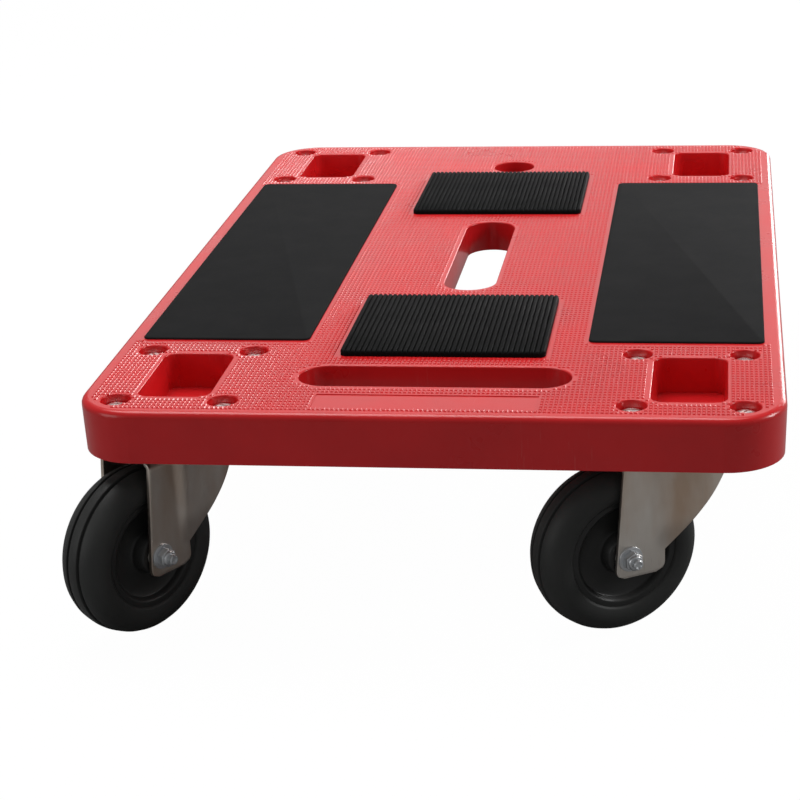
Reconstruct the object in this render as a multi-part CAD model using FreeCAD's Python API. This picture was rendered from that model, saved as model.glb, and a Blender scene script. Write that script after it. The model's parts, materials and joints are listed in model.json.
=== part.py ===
import FreeCAD, Part
import math
import os

"""Moulded plastic furniture dolly: a rectangular ribbed deck on four swivel casters.

Millimetres. Z is up, Y runs from the front edge to the rear edge, X to the right.
The origin is on the floor, under the middle of the deck.
"""

Vector = FreeCAD.Vector
UP = Vector(0, 0, 1)

# Deck
DECK_WIDTH = 400.0           # along X
DECK_DEPTH = 600.0           # along Y
DECK_ABOVE_WHEEL = 42.0      # top of a wheel to the flat top of the deck
DECK_CORNER = 34.0           # corner radius in plan
SKIRT_HEIGHT = 31.0
SKIRT_DRAFT = 0.7            # how far the skirt leans in over its height
DECK_WALL = 3.5
TOP_EDGE_ROUND = 4.0
RIB_THICKNESS = 2.5
RIB_PITCH = 50.0
RIB_DEPTH = 20.0             # top of the deck to the lower edge of the ribs

# Openings in the deck
WELL_DEPTH = 21.0            # screw wells and slot collars reach this far down
COLLAR = 3.0                 # wall round a slot, hole or pocket
POCKET_WIDTH = 42.5
POCKET_DEPTH_Y = 71.0
POCKET_CORNER = 7.5
POCKET_TAPER = 2.0           # the floor is this much smaller on every side
POCKET_FLOOR = 2.5
RIM_ROUND = 1.0              # rounding where an opening meets the top
OVERSHOOT = 1.0              # how far a cutting tool sticks out of what it cuts
HAND_SLOT_LENGTH = 158.5
HAND_SLOT_WIDTH = 33.0
HAND_SLOT_INSET = 62.5       # front edge of the deck to the middle of the slot
CENTRE_SLOT_LENGTH = 156.0
CENTRE_SLOT_WIDTH = 34.0
HANG_HOLE_RADIUS = 15.5
HANG_HOLE_INSET = 68.5       # rear edge of the deck to the middle of the hole
LABEL_LENGTH = 126.5
LABEL_WIDTH = 21.5
LABEL_INSET = 22.0
LABEL_SUNK = 0.4

# Pads
SIDE_PAD_WIDTH = 104.0
SIDE_PAD_LENGTH = 356.5
SIDE_PAD_INSET = 11.2        # side of the deck to the pad
SIDE_PAD_THICKNESS = 2.6
RIBBED_PAD_WIDTH = 122.5
RIBBED_PAD_LENGTH = 108.0
RIBBED_PAD_CENTRE = 151.0    # middle of the deck to the middle of the pad
RIBBED_PAD_THICKNESS = 5.0
RIBBED_PAD_RIDGES = 39
RIDGE_GROOVE_DEPTH = 1.4
RIDGE_GROOVE_SHARE = 0.5     # groove width over ridge pitch
PAD_RECESS = 1.3
PAD_CORNER = 4.0

# Deck screws and nuts
SCREW_SPACING_X = 62.2
SCREW_SPACING_Y = 82.3
SCREW_RADIUS = 3.0
SCREW_HEAD_RADIUS = 7.0
SCREW_HEAD_HEIGHT = 3.4
SCREW_HEAD_SUNK = 2.7        # top of the head below the top of the deck
SCREW_SLOT_WIDTH = 1.6
SCREW_SLOT_DEPTH = 1.3
SCREW_HOLE_CLEARANCE = 0.25
WELL_RADIUS = 8.6
BOSS_WALL = 2.2
NUT_FLATS = 10.0
NUT_HEIGHT = 5.0
SCREW_END = 1.0              # thread showing past the nut
HEAD_ARC_RADIUS = 0.72       # middle point of a screw head's arc, as shares of radius and height
HEAD_ARC_HEIGHT = 0.62

# Caster
PLATE_MARGIN_X = 10.9        # screws to the edge of the plate
PLATE_MARGIN_Y = 9.85
PLATE_INSET_X = 11.9         # side of the deck to the plate
PLATE_INSET_Y = 11.0         # front or rear edge of the deck to the plate
PLATE_THICKNESS = 2.5
PLATE_CORNER = 10.0
RACE_RADIUS = 21.6           # pitch circle of the swivel balls
RACE_BAND = 4.8              # half width of the race rings
RACE_RING_HEIGHT = 7.0
BALL_RADIUS = 2.4
BALL_COUNT = 24
BALL_CLEARANCE = 0.05
HEAD_GAP = 1.0               # between the two race rings
PIN_RADIUS = 5.0
PIN_CLEARANCE = 0.05
PIN_HEAD_RADIUS = 13.5
PIN_HEAD_HEIGHT = 3.0
CROWN_THICKNESS = 2.5
CROWN_RING_HEIGHT = 5.0
RAKE = 50.0                  # swivel axis to wheel axle
WHEEL_RADIUS = 50.0
TYRE_WIDTH = 32.0
TYRE_INNER_RADIUS = 32.5
TREAD_GROOVES = 2
TREAD_GROOVE_DEPTH = 1.6
TREAD_GROOVE_WIDTH = 1.8
TREAD_PITCH = 6.8            # between neighbouring tread grooves
TYRE_SHOULDER = 8.0
FORK_SIDE_GAP = 2.2          # tyre to the inside of a fork leg
FORK_THICKNESS = 2.5
FORK_BELOW = 12.0            # leg below the axle
FORK_BEHIND = 9.0           # leg behind the axle at its lower end
FORK_AHEAD = 22.5            # leg ahead of the axle at its lower end
FORK_TOP_BEHIND = 3.2        # leg behind the axle at the crown
FORK_TOP_FRONT = 17.5        # leg ahead of the swivel axis at the crown
FORK_SHOULDER = 9.5         # straight part of the leading edge under the crown
FORK_HEEL = 13.0             # height of the straight lower end on the leading side
FORK_BULGE = 4.0             # outward bow of the leading edge
FORK_CORNER = 5.6            # round corners at the lower end of a leg
AXLE_RADIUS = 3.0
AXLE_CLEARANCE = 0.05
SLEEVE_RADIUS = 5.0
BUSH_WALL = 2.5
HUB_RADIUS = 12.5
HUB_SIDE_GAP = 1.0           # hub face to the inside of a fork leg
RIM_WEB = 6.0
RIM_BAND = 4.0
RIM_FLANGE = 2.0             # rim edge inside the side of the tyre
WASHER_RADIUS = 7.5
WASHER_THICKNESS = 1.4
AXLE_HEAD_FLATS = 10.0
AXLE_HEAD_HEIGHT = 4.2
AXLE_NUT_HEIGHT = 6.4
NUT_HEX_SHARE = 0.75         # height of the hexagon below the nut's collar
NUT_COLLAR_SHARE = 0.46      # collar radius over the size across the flats
AXLE_END = 2.8

DECK_HEIGHT = 2 * WHEEL_RADIUS + DECK_ABOVE_WHEEL
PLATE_WIDTH = SCREW_SPACING_X + 2 * PLATE_MARGIN_X
PLATE_DEPTH = SCREW_SPACING_Y + 2 * PLATE_MARGIN_Y
CASTER_INSET_X = PLATE_WIDTH / 2 + PLATE_INSET_X
CASTER_INSET_Y = PLATE_DEPTH / 2 + PLATE_INSET_Y
DECK_UNDERSIDE = DECK_HEIGHT - WELL_DEPTH - POCKET_FLOOR     # top of the caster plates
PLATE_LOW = DECK_UNDERSIDE - PLATE_THICKNESS
RACE_TOP = PLATE_LOW - RACE_RING_HEIGHT                      # lower face of the plate's ring
CROWN_TOP = RACE_TOP - HEAD_GAP
BALL_HEIGHT = RACE_TOP - HEAD_GAP / 2
FORK_INNER = TYRE_WIDTH / 2 + FORK_SIDE_GAP
FORK_OUTER = FORK_INNER + FORK_THICKNESS
SEAT_LOW = DECK_HEIGHT - SCREW_HEAD_SUNK - SCREW_HEAD_HEIGHT  # floor of a screw well

# Each caster: name, side along X, side along Y, heading of the trailing wheel in degrees
CASTERS = (
    ("front_left", -1, -1, 238.0),
    ("front_right", 1, -1, 211.0),
    ("rear_left", -1, 1, 228.0),
    ("rear_right", 1, 1, 205.0),
)

# Turn of every screw slot in degrees, in the order of screw_places()
SLOT_TURNS = {
    "front_left": (0.0, -20.0, -55.0, 30.0),
    "front_right": (10.0, 50.0, -35.0, 0.0),
    "rear_left": (15.0, -40.0, 70.0, 5.0),
    "rear_right": (-10.0, 35.0, 80.0, -25.0),
}


def save(node, shape):
    """Write one node as STEP, as one solid or a group of solids."""
    shape.exportStep(f"parts/{node}.step")


def rounded_outline(width, depth, corner, height):
    """Closed wire of a rectangle with round corners, centred on the Z axis."""
    half_w = width / 2
    half_d = depth / 2
    edges = []
    corners = ((1, 1, 0), (-1, 1, 90), (-1, -1, 180), (1, -1, 270))
    ends = []
    for side_x, side_y, start in corners:
        centre = Vector(side_x * (half_w - corner), side_y * (half_d - corner), height)
        circle = Part.Circle(centre, UP, corner)
        arc = Part.Arc(circle, math.radians(start), math.radians(start + 90))
        edges.append(arc.toShape())
        ends.append((arc.StartPoint, arc.EndPoint))
    joined = []
    for index, arc_edge in enumerate(edges):
        joined.append(arc_edge)
        leave = ends[index][1]
        arrive = ends[(index + 1) % len(ends)][0]
        joined.append(Part.LineSegment(leave, arrive).toShape())
    return Part.Wire(joined)


def rounded_block(width, depth, corner, low, high):
    """Upright block with rounded corners between two heights."""
    face = Part.Face(rounded_outline(width, depth, corner, low))
    return face.extrude(UP * (high - low))


def tapered_block(width, depth, corner, taper, low, high):
    """Block that is smaller by the taper on every side at its lower end."""
    small = rounded_outline(width - 2 * taper, depth - 2 * taper, corner - taper, low)
    large = rounded_outline(width, depth, corner, high)
    return Part.makeLoft([small, large], True, True)


def slot_block(length, width, low, high, along_y):
    """Upright block with half-round ends."""
    radius = width / 2
    reach = length / 2 - radius
    block = Part.makeBox(2 * reach, width, high - low, Vector(-reach, -radius, low))
    for side in (-1, 1):
        end = Part.makeCylinder(radius, high - low, Vector(side * reach, 0, low))
        block = block.fuse(end)
    block = block.removeSplitter()
    if along_y:
        block.rotate(Vector(), UP, 90)
    return block


def moved(shape, x=0.0, y=0.0, z=0.0):
    """Copy of a shape, shifted."""
    copy = shape.copy()
    copy.translate(Vector(x, y, z))
    return copy


def hexagon(flats, low, high):
    """Hexagonal prism on the Z axis."""
    radius = flats / math.sqrt(3)
    corners = [Vector(radius * math.cos(math.radians(60 * i)),
                      radius * math.sin(math.radians(60 * i)), low) for i in range(7)]
    return Part.Face(Part.makePolygon(corners)).extrude(UP * (high - low))


def ring(inner, outer, low, high):
    """Flat ring on the Z axis."""
    disc = Part.makeCylinder(outer, high - low, Vector(0, 0, low))
    return disc.cut(Part.makeCylinder(inner, high - low, Vector(0, 0, low)))


def caster_place(side_x, side_y):
    """Swivel axis of a caster."""
    x = side_x * (DECK_WIDTH / 2 - CASTER_INSET_X)
    y = side_y * (DECK_DEPTH / 2 - CASTER_INSET_Y)
    return x, y


def screw_places():
    """Screws round a swivel axis: front left, front right, rear left, rear right."""
    half_x = SCREW_SPACING_X / 2
    half_y = SCREW_SPACING_Y / 2
    return [(-half_x, -half_y), (half_x, -half_y), (-half_x, half_y), (half_x, half_y)]


def side_pad_x():
    """Distance of a side pad's middle from the middle of the deck."""
    return DECK_WIDTH / 2 - SIDE_PAD_INSET - SIDE_PAD_WIDTH / 2


def pad_outline(width, length, low, high):
    """Block under or for a pad."""
    return rounded_block(width, length, PAD_CORNER, low, high)


def hand_slot_y():
    """Middle of the front hand slot."""
    return -DECK_DEPTH / 2 + HAND_SLOT_INSET


def hang_hole_y():
    """Middle of the rear hole."""
    return DECK_DEPTH / 2 - HANG_HOLE_INSET


def deck_shell():
    """Outer body of the deck, with a drafted skirt and a rounded top edge."""
    low = DECK_HEIGHT - SKIRT_HEIGHT
    shell = tapered_block(DECK_WIDTH, DECK_DEPTH, DECK_CORNER, SKIRT_DRAFT, low, DECK_HEIGHT)
    top_edges = [edge for edge in shell.Edges
                 if edge.BoundBox.ZMin > DECK_HEIGHT - DECK_WALL / 2]
    return shell.makeFillet(TOP_EDGE_ROUND, top_edges)


def deck_cavity():
    """Hollow under the deck, before ribs and collars are left standing in it."""
    low = DECK_HEIGHT - SKIRT_HEIGHT
    shrink = 2 * DECK_WALL
    return tapered_block(DECK_WIDTH - shrink, DECK_DEPTH - shrink, DECK_CORNER - DECK_WALL,
                         SKIRT_DRAFT, low, DECK_HEIGHT - DECK_WALL)


def rib_offsets(span):
    """Rib positions on both sides of the middle."""
    count = int(span / 2 / RIB_PITCH + 0.5)
    offsets = []
    for index in range(count):
        offset = (index + 0.5) * RIB_PITCH
        offsets += [offset, -offset]
    return offsets


def deck_ribs():
    """Crossing ribs under the deck."""
    low = DECK_HEIGHT - RIB_DEPTH
    height = RIB_DEPTH - DECK_WALL / 2
    ribs = []
    for x in rib_offsets(DECK_WIDTH - 2 * DECK_WALL):
        corner = Vector(x - RIB_THICKNESS / 2, -DECK_DEPTH / 2, low)
        ribs.append(Part.makeBox(RIB_THICKNESS, DECK_DEPTH, height, corner))
    for y in rib_offsets(DECK_DEPTH - 2 * DECK_WALL):
        corner = Vector(-DECK_WIDTH / 2, y - RIB_THICKNESS / 2, low)
        ribs.append(Part.makeBox(DECK_WIDTH, RIB_THICKNESS, height, corner))
    return ribs


def caster_seat():
    """Screw bosses and pocket box that stand on one caster plate."""
    top = DECK_HEIGHT - DECK_WALL / 2
    low = DECK_UNDERSIDE
    boss_radius = WELL_RADIUS + BOSS_WALL
    pieces = [rounded_block(POCKET_WIDTH + 2 * COLLAR, POCKET_DEPTH_Y + 2 * COLLAR,
                            POCKET_CORNER + COLLAR, low, top)]
    for x, y in screw_places():
        pieces.append(Part.makeCylinder(boss_radius, top - low, Vector(x, y, low)))
    return pieces


def deck_structure():
    """Everything that stays solid inside the deck's hollow."""
    low = DECK_HEIGHT - WELL_DEPTH
    top = DECK_HEIGHT - DECK_WALL / 2
    pieces = deck_ribs()
    for _, side_x, side_y, _ in CASTERS:
        x, y = caster_place(side_x, side_y)
        pieces += [moved(piece, x, y) for piece in caster_seat()]
    grow = 2 * COLLAR
    hand = slot_block(HAND_SLOT_LENGTH + grow, HAND_SLOT_WIDTH + grow, low, top, False)
    pieces.append(moved(hand, 0, hand_slot_y()))
    pieces.append(slot_block(CENTRE_SLOT_LENGTH + grow, CENTRE_SLOT_WIDTH + grow, low, top, True))
    hole_place = Vector(0, hang_hole_y(), low)
    pieces.append(Part.makeCylinder(HANG_HOLE_RADIUS + COLLAR, top - low, hole_place))
    return pieces[0].fuse(pieces[1:])


def seat_cuts():
    """Pocket, screw wells and screw holes of one caster seat."""
    over = DECK_HEIGHT + OVERSHOOT
    floor = DECK_HEIGHT - WELL_DEPTH
    cuts = [tapered_block(POCKET_WIDTH, POCKET_DEPTH_Y, POCKET_CORNER, POCKET_TAPER,
                          floor, DECK_HEIGHT)]
    hole_radius = SCREW_RADIUS + SCREW_HOLE_CLEARANCE
    for x, y in screw_places():
        cuts.append(Part.makeCylinder(WELL_RADIUS, over - SEAT_LOW, Vector(x, y, SEAT_LOW)))
        base = Vector(x, y, DECK_UNDERSIDE - OVERSHOOT)
        cuts.append(Part.makeCylinder(hole_radius, SEAT_LOW - base.z + OVERSHOOT, base))
    return cuts


def deck_cuts():
    """Openings and shallow recesses, cut from above."""
    low = DECK_HEIGHT - SKIRT_HEIGHT
    over = DECK_HEIGHT + OVERSHOOT
    recess = DECK_HEIGHT - PAD_RECESS
    cuts = []
    for _, side_x, side_y, _ in CASTERS:
        x, y = caster_place(side_x, side_y)
        cuts += [moved(cut, x, y) for cut in seat_cuts()]
    hand = slot_block(HAND_SLOT_LENGTH, HAND_SLOT_WIDTH, low, over, False)
    cuts.append(moved(hand, 0, hand_slot_y()))
    cuts.append(slot_block(CENTRE_SLOT_LENGTH, CENTRE_SLOT_WIDTH, low, over, True))
    cuts.append(Part.makeCylinder(HANG_HOLE_RADIUS, over - low, Vector(0, hang_hole_y(), low)))
    side_recess = pad_outline(SIDE_PAD_WIDTH, SIDE_PAD_LENGTH, recess, over)
    ribbed_recess = pad_outline(RIBBED_PAD_WIDTH, RIBBED_PAD_LENGTH, recess, over)
    for side in (-1, 1):
        cuts.append(moved(side_recess, side * side_pad_x(), 0))
        cuts.append(moved(ribbed_recess, 0, side * RIBBED_PAD_CENTRE))
    label = Part.makeBox(LABEL_LENGTH, LABEL_WIDTH, over, Vector(-LABEL_LENGTH / 2, 0, 0))
    label_y = -DECK_DEPTH / 2 + LABEL_INSET - LABEL_WIDTH / 2
    cuts.append(moved(label, 0, label_y, DECK_HEIGHT - LABEL_SUNK))
    return cuts


def opening_zones():
    """Middle and half size of every opening and well in the top, grown a little."""
    zones = [(0, hand_slot_y(), HAND_SLOT_LENGTH / 2, HAND_SLOT_WIDTH / 2),
             (0, 0, CENTRE_SLOT_WIDTH / 2, CENTRE_SLOT_LENGTH / 2),
             (0, hang_hole_y(), HANG_HOLE_RADIUS, HANG_HOLE_RADIUS)]
    for _, side_x, side_y, _ in CASTERS:
        x, y = caster_place(side_x, side_y)
        zones.append((x, y, POCKET_WIDTH / 2, POCKET_DEPTH_Y / 2))
        zones += [(x + dx, y + dy, WELL_RADIUS, WELL_RADIUS) for dx, dy in screw_places()]
    return zones


def opening_rims(body):
    """Edges where the flat top turns down into an opening or well."""
    zones = opening_zones()
    rims = []
    for edge in body.Edges:
        box = edge.BoundBox
        if box.ZMin < DECK_HEIGHT - LABEL_SUNK / 2:
            continue
        for x, y, half_x, half_y in zones:
            reach_x = half_x + LABEL_SUNK
            reach_y = half_y + LABEL_SUNK
            if (box.XMin > x - reach_x and box.XMax < x + reach_x
                    and box.YMin > y - reach_y and box.YMax < y + reach_y):
                rims.append(edge)
                break
    return rims


def deck():
    """Moulded deck: shell, ribs, collars, bosses, pockets and openings."""
    hollow = deck_cavity().cut(deck_structure())
    body = deck_shell().cut(hollow)
    body = body.cut(deck_cuts()).removeSplitter()
    return body.makeFillet(RIM_ROUND, opening_rims(body))


def side_pad(side):
    """Smooth pad in a recess beside the middle of the deck."""
    low = DECK_HEIGHT - PAD_RECESS
    pad = pad_outline(SIDE_PAD_WIDTH, SIDE_PAD_LENGTH, low, low + SIDE_PAD_THICKNESS)
    return moved(pad, side * side_pad_x(), 0)


def ribbed_pad(side):
    """Thick pad with ridges along Y."""
    low = DECK_HEIGHT - PAD_RECESS
    high = low + RIBBED_PAD_THICKNESS
    pad = pad_outline(RIBBED_PAD_WIDTH, RIBBED_PAD_LENGTH, low, high)
    pitch = RIBBED_PAD_WIDTH / RIBBED_PAD_RIDGES
    groove = pitch * RIDGE_GROOVE_SHARE
    grooves = []
    for index in range(1, RIBBED_PAD_RIDGES):
        x = -RIBBED_PAD_WIDTH / 2 + index * pitch - groove / 2
        corner = Vector(x, -RIBBED_PAD_LENGTH, high - RIDGE_GROOVE_DEPTH)
        grooves.append(Part.makeBox(groove, 2 * RIBBED_PAD_LENGTH, RIBBED_PAD_THICKNESS, corner))
    return moved(pad.cut(grooves), 0, side * RIBBED_PAD_CENTRE)


def slotted_screw(turn):
    """Round-headed slotted screw, head up, on the Z axis."""
    top = DECK_HEIGHT - SCREW_HEAD_SUNK
    low = PLATE_LOW - NUT_HEIGHT - SCREW_END
    rim = SEAT_LOW + SCREW_HEAD_HEIGHT / 3
    arc = Part.Arc(Vector(SCREW_HEAD_RADIUS, 0, rim),
                   Vector(SCREW_HEAD_RADIUS * HEAD_ARC_RADIUS, 0, rim + (top - rim) * HEAD_ARC_HEIGHT),
                   Vector(0, 0, top)).toShape()
    points = [Vector(0, 0, top), Vector(0, 0, low), Vector(SCREW_RADIUS, 0, low),
              Vector(SCREW_RADIUS, 0, SEAT_LOW), Vector(SCREW_HEAD_RADIUS, 0, SEAT_LOW),
              Vector(SCREW_HEAD_RADIUS, 0, rim)]
    outline = Part.Wire([arc] + Part.makePolygon(points).Edges)
    screw = Part.Face(outline).revolve(Vector(), UP, 360)
    corner = Vector(-SCREW_HEAD_RADIUS, -SCREW_SLOT_WIDTH / 2, top - SCREW_SLOT_DEPTH)
    slot = Part.makeBox(2 * SCREW_HEAD_RADIUS, SCREW_SLOT_WIDTH, SCREW_HEAD_HEIGHT, corner)
    screw = screw.cut(slot)
    screw.rotate(Vector(), UP, turn)
    return screw


def deck_screws(name):
    """The four screws of one caster."""
    turns = SLOT_TURNS[name]
    screws = [moved(slotted_screw(turn), x, y) for turn, (x, y) in zip(turns, screw_places())]
    return Part.makeCompound(screws)


def deck_nuts():
    """The four nuts under one caster plate."""
    nut = hexagon(NUT_FLATS, PLATE_LOW - NUT_HEIGHT, PLATE_LOW)
    nut = nut.cut(Part.makeCylinder(SCREW_RADIUS, NUT_HEIGHT, Vector(0, 0, PLATE_LOW - NUT_HEIGHT)))
    return Part.makeCompound([moved(nut, x, y) for x, y in screw_places()])


def race_groove():
    """Ring that clears the swivel balls."""
    return Part.makeTorus(RACE_RADIUS, BALL_RADIUS + BALL_CLEARANCE, Vector(0, 0, BALL_HEIGHT))


def caster_plate():
    """Top plate with its race ring, screw holes and king pin hole."""
    plate = rounded_block(PLATE_WIDTH, PLATE_DEPTH, PLATE_CORNER, PLATE_LOW, DECK_UNDERSIDE)
    race = ring(RACE_RADIUS - RACE_BAND, RACE_RADIUS + RACE_BAND, RACE_TOP, PLATE_LOW)
    plate = plate.fuse(race)
    pin_hole = Part.makeCylinder(PIN_RADIUS, PLATE_THICKNESS, Vector(0, 0, PLATE_LOW))
    cuts = [race_groove(), pin_hole]
    hole_radius = SCREW_RADIUS + SCREW_HOLE_CLEARANCE
    for x, y in screw_places():
        cuts.append(Part.makeCylinder(hole_radius, PLATE_THICKNESS, Vector(x, y, PLATE_LOW)))
    return plate.cut(cuts).removeSplitter()


def swivel_balls():
    """Full circle of balls between the plate and the fork crown."""
    balls = []
    for index in range(BALL_COUNT):
        angle = 2 * math.pi * index / BALL_COUNT
        place = Vector(RACE_RADIUS * math.cos(angle), RACE_RADIUS * math.sin(angle), BALL_HEIGHT)
        balls.append(Part.makeSphere(BALL_RADIUS, place))
    return Part.makeCompound(balls)


def crown_low():
    """Lower face of the fork crown's race ring."""
    return CROWN_TOP - CROWN_RING_HEIGHT


def king_pin():
    """Riveted pin that holds the fork to the plate."""
    head_top = crown_low() - PIN_CLEARANCE
    head_low = head_top - PIN_HEAD_HEIGHT
    shank = Part.makeCylinder(PIN_RADIUS, DECK_UNDERSIDE - head_low, Vector(0, 0, head_low))
    head = Part.makeCylinder(PIN_HEAD_RADIUS, PIN_HEAD_HEIGHT, Vector(0, 0, head_low))
    edge = [e for e in head.Edges if abs(e.BoundBox.ZMax - head_low) < PIN_CLEARANCE]
    head = head.makeFillet(PIN_HEAD_HEIGHT / 2, edge)
    return shank.fuse(head).removeSplitter()


def fork_leg(side):
    """One leg of the fork in the XZ plane, trailing along +X to the axle."""
    top = CROWN_TOP
    sole = WHEEL_RADIUS - FORK_BELOW
    front_top = Vector(-FORK_TOP_FRONT, 0, top)
    shoulder = Vector(-FORK_TOP_FRONT, 0, top - FORK_SHOULDER)
    heel_top = Vector(RAKE - FORK_AHEAD, 0, sole + FORK_HEEL)
    heel = Vector(RAKE - FORK_AHEAD, 0, sole)
    toe = Vector(RAKE + FORK_BEHIND, 0, sole)
    rear_top = Vector(RAKE + FORK_TOP_BEHIND, 0, top)
    chord = heel_top - shoulder
    outward = Vector(chord.z, 0, -chord.x).normalize()
    bow = (shoulder + heel_top) / 2 + outward * FORK_BULGE
    edges = [
        Part.LineSegment(rear_top, front_top).toShape(),
        Part.LineSegment(front_top, shoulder).toShape(),
        Part.Arc(shoulder, bow, heel_top).toShape(),
        Part.LineSegment(heel_top, heel).toShape(),
        Part.LineSegment(heel, toe).toShape(),
        Part.LineSegment(toe, rear_top).toShape(),
    ]
    leg = Part.Face(Part.Wire(edges)).extrude(Vector(0, FORK_THICKNESS, 0))
    corners = [e for e in leg.Edges if abs(e.BoundBox.YLength - FORK_THICKNESS) < AXLE_CLEARANCE
               and e.BoundBox.ZMax < sole + FORK_HEEL / 2]
    leg = leg.makeFillet(FORK_CORNER, corners)
    near = FORK_INNER if side > 0 else -FORK_OUTER
    return moved(leg, 0, near, 0)


def axle_cylinder(radius, start, end):
    """Cylinder along the wheel axle between two sideways places."""
    return Part.makeCylinder(radius, end - start, Vector(RAKE, start, WHEEL_RADIUS), Vector(0, 1, 0))


def fork():
    """Pressed fork: crown with a lower race and two raked legs."""
    crown_face = CROWN_TOP - CROWN_THICKNESS
    crown = Part.makeCylinder(RACE_RADIUS + RACE_BAND, CROWN_THICKNESS, Vector(0, 0, crown_face))
    bridge = Part.makeBox(FORK_TOP_FRONT + RAKE + FORK_TOP_BEHIND, 2 * FORK_OUTER,
                          CROWN_THICKNESS, Vector(-FORK_TOP_FRONT, -FORK_OUTER, crown_face))
    race = Part.makeCylinder(RACE_RADIUS + RACE_BAND, CROWN_RING_HEIGHT, Vector(0, 0, crown_low()))
    body = crown.fuse([bridge, race, fork_leg(1), fork_leg(-1)])
    pin_hole = Part.makeCylinder(PIN_RADIUS + PIN_CLEARANCE, CROWN_RING_HEIGHT,
                                 Vector(0, 0, crown_low()))
    axle_hole = axle_cylinder(AXLE_RADIUS + AXLE_CLEARANCE, -FORK_OUTER - OVERSHOOT, FORK_OUTER + OVERSHOOT)
    return body.cut([race_groove(), pin_hole, axle_hole]).removeSplitter()


def lay_on_axle(shape):
    """Turn a shape from the Z axis onto the wheel axle, its +Z along +Y."""
    copy = shape.copy()
    copy.rotate(Vector(), Vector(1, 0, 0), -90)
    copy.translate(Vector(RAKE, 0, WHEEL_RADIUS))
    return copy


def axle_bolt():
    """Hexagon bolt through the fork and the wheel."""
    face = -FORK_OUTER - WASHER_THICKNESS
    head = hexagon(AXLE_HEAD_FLATS, face - AXLE_HEAD_HEIGHT, face)
    end = FORK_OUTER + WASHER_THICKNESS + AXLE_NUT_HEIGHT + AXLE_END
    shank = Part.makeCylinder(AXLE_RADIUS, end - face, Vector(0, 0, face))
    return lay_on_axle(head.fuse(shank).removeSplitter())


def axle_nut():
    """Locking nut on the end of the axle bolt."""
    low = FORK_OUTER + WASHER_THICKNESS
    hexed = hexagon(AXLE_HEAD_FLATS, low, low + AXLE_NUT_HEIGHT * NUT_HEX_SHARE)
    collar = Part.makeCylinder(AXLE_HEAD_FLATS * NUT_COLLAR_SHARE, AXLE_NUT_HEIGHT, Vector(0, 0, low))
    hole = Part.makeCylinder(AXLE_RADIUS, AXLE_NUT_HEIGHT, Vector(0, 0, low))
    return lay_on_axle(hexed.fuse(collar).cut(hole).removeSplitter())


def axle_washers():
    """Washers outside both fork legs."""
    near = ring(AXLE_RADIUS, WASHER_RADIUS, -FORK_OUTER - WASHER_THICKNESS, -FORK_OUTER)
    far = ring(AXLE_RADIUS, WASHER_RADIUS, FORK_OUTER, FORK_OUTER + WASHER_THICKNESS)
    return Part.makeCompound([lay_on_axle(near), lay_on_axle(far)])


def axle_sleeve():
    """Steel tube that the wheel turns on, clamped between the fork legs."""
    return lay_on_axle(ring(AXLE_RADIUS, SLEEVE_RADIUS, -FORK_INNER, FORK_INNER))


def hub_half():
    """Half the length of the hub."""
    return FORK_INNER - HUB_SIDE_GAP


def wheel_bush():
    """Plain bearing pressed into the hub."""
    inner = SLEEVE_RADIUS + AXLE_CLEARANCE
    return lay_on_axle(ring(inner, inner + BUSH_WALL, -hub_half(), hub_half()))


def wheel_rim():
    """Plastic wheel centre: hub, web and outer band."""
    bore = SLEEVE_RADIUS + AXLE_CLEARANCE + BUSH_WALL
    band_half = TYRE_WIDTH / 2 - RIM_FLANGE
    hub = ring(bore, HUB_RADIUS, -hub_half(), hub_half())
    web = ring(bore, TYRE_INNER_RADIUS, -RIM_WEB / 2, RIM_WEB / 2)
    band = ring(TYRE_INNER_RADIUS - RIM_BAND, TYRE_INNER_RADIUS, -band_half, band_half)
    return lay_on_axle(hub.fuse([web, band]).removeSplitter())


def tyre():
    """Solid tyre with a ribbed tread and rounded shoulders."""
    body = ring(TYRE_INNER_RADIUS, WHEEL_RADIUS, -TYRE_WIDTH / 2, TYRE_WIDTH / 2)
    outer = [e for e in body.Edges if e.BoundBox.ZLength < FORK_SIDE_GAP
             and e.BoundBox.XMax > WHEEL_RADIUS - FORK_SIDE_GAP]
    body = body.makeFillet(TYRE_SHOULDER, outer)
    grooves = []
    for index in range(TREAD_GROOVES):
        middle = (index - (TREAD_GROOVES - 1) / 2) * TREAD_PITCH
        grooves.append(ring(WHEEL_RADIUS - TREAD_GROOVE_DEPTH, WHEEL_RADIUS + OVERSHOOT,
                            middle - TREAD_GROOVE_WIDTH / 2, middle + TREAD_GROOVE_WIDTH / 2))
    return lay_on_axle(body.cut(grooves))


def place_caster(shape, side_x, side_y, heading):
    """Turn a caster piece to its heading and move it to its corner."""
    copy = shape.copy()
    copy.rotate(Vector(), UP, heading)
    x, y = caster_place(side_x, side_y)
    copy.translate(Vector(x, y, 0))
    return copy


def save_casters():
    """Write all four casters, fixed pieces first, then the swivelling and rolling ones."""
    fixed = {"caster_plate": caster_plate(), "swivel_balls": swivel_balls(),
             "king_pin": king_pin(), "deck_nuts": deck_nuts()}
    turning = {"fork": fork(), "axle_bolt": axle_bolt(), "axle_nut": axle_nut(),
               "axle_washers": axle_washers(), "axle_sleeve": axle_sleeve(),
               "wheel_bush": wheel_bush(), "wheel_rim": wheel_rim(), "tyre": tyre()}
    for name, side_x, side_y, heading in CASTERS:
        save(f"deck_screws_{name}", place_caster(deck_screws(name), side_x, side_y, 0))
        for piece, shape in fixed.items():
            save(f"{piece}_{name}", place_caster(shape, side_x, side_y, 0))
        for piece, shape in turning.items():
            save(f"{piece}_{name}", place_caster(shape, side_x, side_y, heading))


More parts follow.
